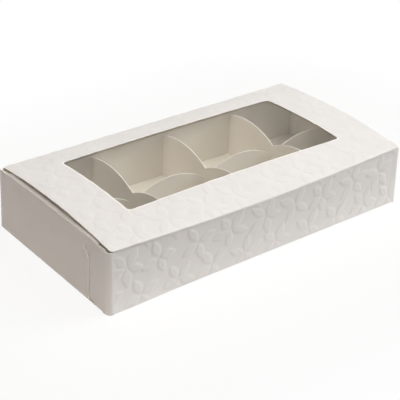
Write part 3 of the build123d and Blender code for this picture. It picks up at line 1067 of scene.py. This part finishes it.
def build_world():
    """Soft room light: a level of its own from each side and from above, blended in between."""
    world = bpy.data.worlds.new("studio")
    bpy.context.scene.world = world
    world.use_nodes = True
    nodes = world.node_tree.nodes
    links = world.node_tree.links
    background = nodes["Background"]
    place = nodes.new("ShaderNodeTexCoord")
    total = None
    for side, colour in ROOM_LIGHT:
        lean = nodes.new("ShaderNodeVectorMath")
        lean.operation = "DOT_PRODUCT"
        lean.inputs[1].default_value = side
        links.new(place.outputs["Generated"], lean.inputs[0])
        facing = nodes.new("ShaderNodeMath")
        facing.operation = "MAXIMUM"
        facing.inputs[1].default_value = 0
        links.new(lean.outputs["Value"], facing.inputs[0])
        share = nodes.new("ShaderNodeMath")
        share.operation = "POWER"
        share.inputs[1].default_value = 2
        links.new(facing.outputs["Value"], share.inputs[0])
        tint = nodes.new("ShaderNodeVectorMath")
        tint.operation = "SCALE"
        tint.inputs[0].default_value = colour
        links.new(share.outputs["Value"], tint.inputs["Scale"])
        if total is None:
            total = tint.outputs["Vector"]
            continue
        both = nodes.new("ShaderNodeVectorMath")
        both.operation = "ADD"
        links.new(total, both.inputs[0])
        links.new(tint.outputs["Vector"], both.inputs[1])
        total = both.outputs["Vector"]
    links.new(total, background.inputs["Color"])
    white = nodes.new("ShaderNodeBackground")
    white.inputs["Color"].default_value = (1, 1, 1, 1)
    white.inputs["Strength"].default_value = 1.0
    seen = seen_rays(nodes, links)
    mix = nodes.new("ShaderNodeMixShader")
    links.new(seen, mix.inputs["Fac"])
    links.new(background.outputs["Background"], mix.inputs[1])
    links.new(white.outputs["Background"], mix.inputs[2])
    links.new(mix.outputs["Shader"], nodes["World Output"].inputs["Surface"])


def build_lights():
    for name, (place, size, power, colour) in LAMPS.items():
        lamp = bpy.data.lights.new(name, "AREA")
        lamp.shape = "SQUARE"
        lamp.size = size
        lamp.energy = power
        lamp.color = colour
        obj = link_object(name, lamp)
        obj.location = place
        obj.rotation_euler = (-Vector(place)).to_track_quat("-Z", "Y").to_euler()


def build_camera():
    a, e, r = (math.radians(v) for v in (VIEW_AZIMUTH, VIEW_ELEVATION, VIEW_ROLL))
    back = Vector((math.sin(a) * math.cos(e), -math.cos(a) * math.cos(e), math.sin(e)))
    level = Vector((math.cos(a), math.sin(a), 0))
    rise = back.cross(level)
    right = level * math.cos(r) + rise * math.sin(r)
    up = rise * math.cos(r) - level * math.sin(r)
    data = bpy.data.cameras.new("camera")
    data.sensor_fit = "HORIZONTAL"
    data.sensor_width = VIEW_SENSOR
    data.lens = VIEW_LENS
    data.clip_start = VIEW_CLIP
    camera = link_object("camera", data)
    camera.matrix_world = axes_matrix(right, up, VIEW_PLACE)
    bpy.context.scene.camera = camera


build_lid()
build_film()
build_wall("front_wall_card", "front_wall", -1, BOW, WALL_TOP, FOOT_OUT,
           lambda z: end_face(z) + CARD - FOLD)
build_wall("back_wall_card", "back_wall", 1, 0.0, BACK_WALL_TOP, 0.0,
           lambda z: end_face(z) - CARD - BACK_FOLD)
for side, side_name in ((-1, "left"), (1, "right")):
    build_tab(f"front_{side_name}_tab_card", f"front_{side_name}_lock_tab", side)
    build_corner_flap(f"back_{side_name}_flap_card", f"back_{side_name}_corner_flap", side)
    build_end_wall(f"{side_name}_end_card", f"{side_name}_end_wall", side)
    build_slit_lip(f"{side_name}_slit_lip", f"{side_name}_end_wall", side)
    build_dust_flap(f"{side_name}_dust_card", f"{side_name}_dust_flap", f"{side_name}_flap", side)
build_tuck_flap()
build_base()
build_insert_floor()
build_insert_frame("insert_back_card", "insert_back_frame", 1)
build_insert_frame("insert_front_card", "insert_front_frame", -1)
build_long_divider()
for number in range(1, COLUMNS):
    build_cross_divider(number)
build_stage()
build_world()
build_lights()
build_camera()
bpy.context.scene.view_settings.view_transform = "Standard"
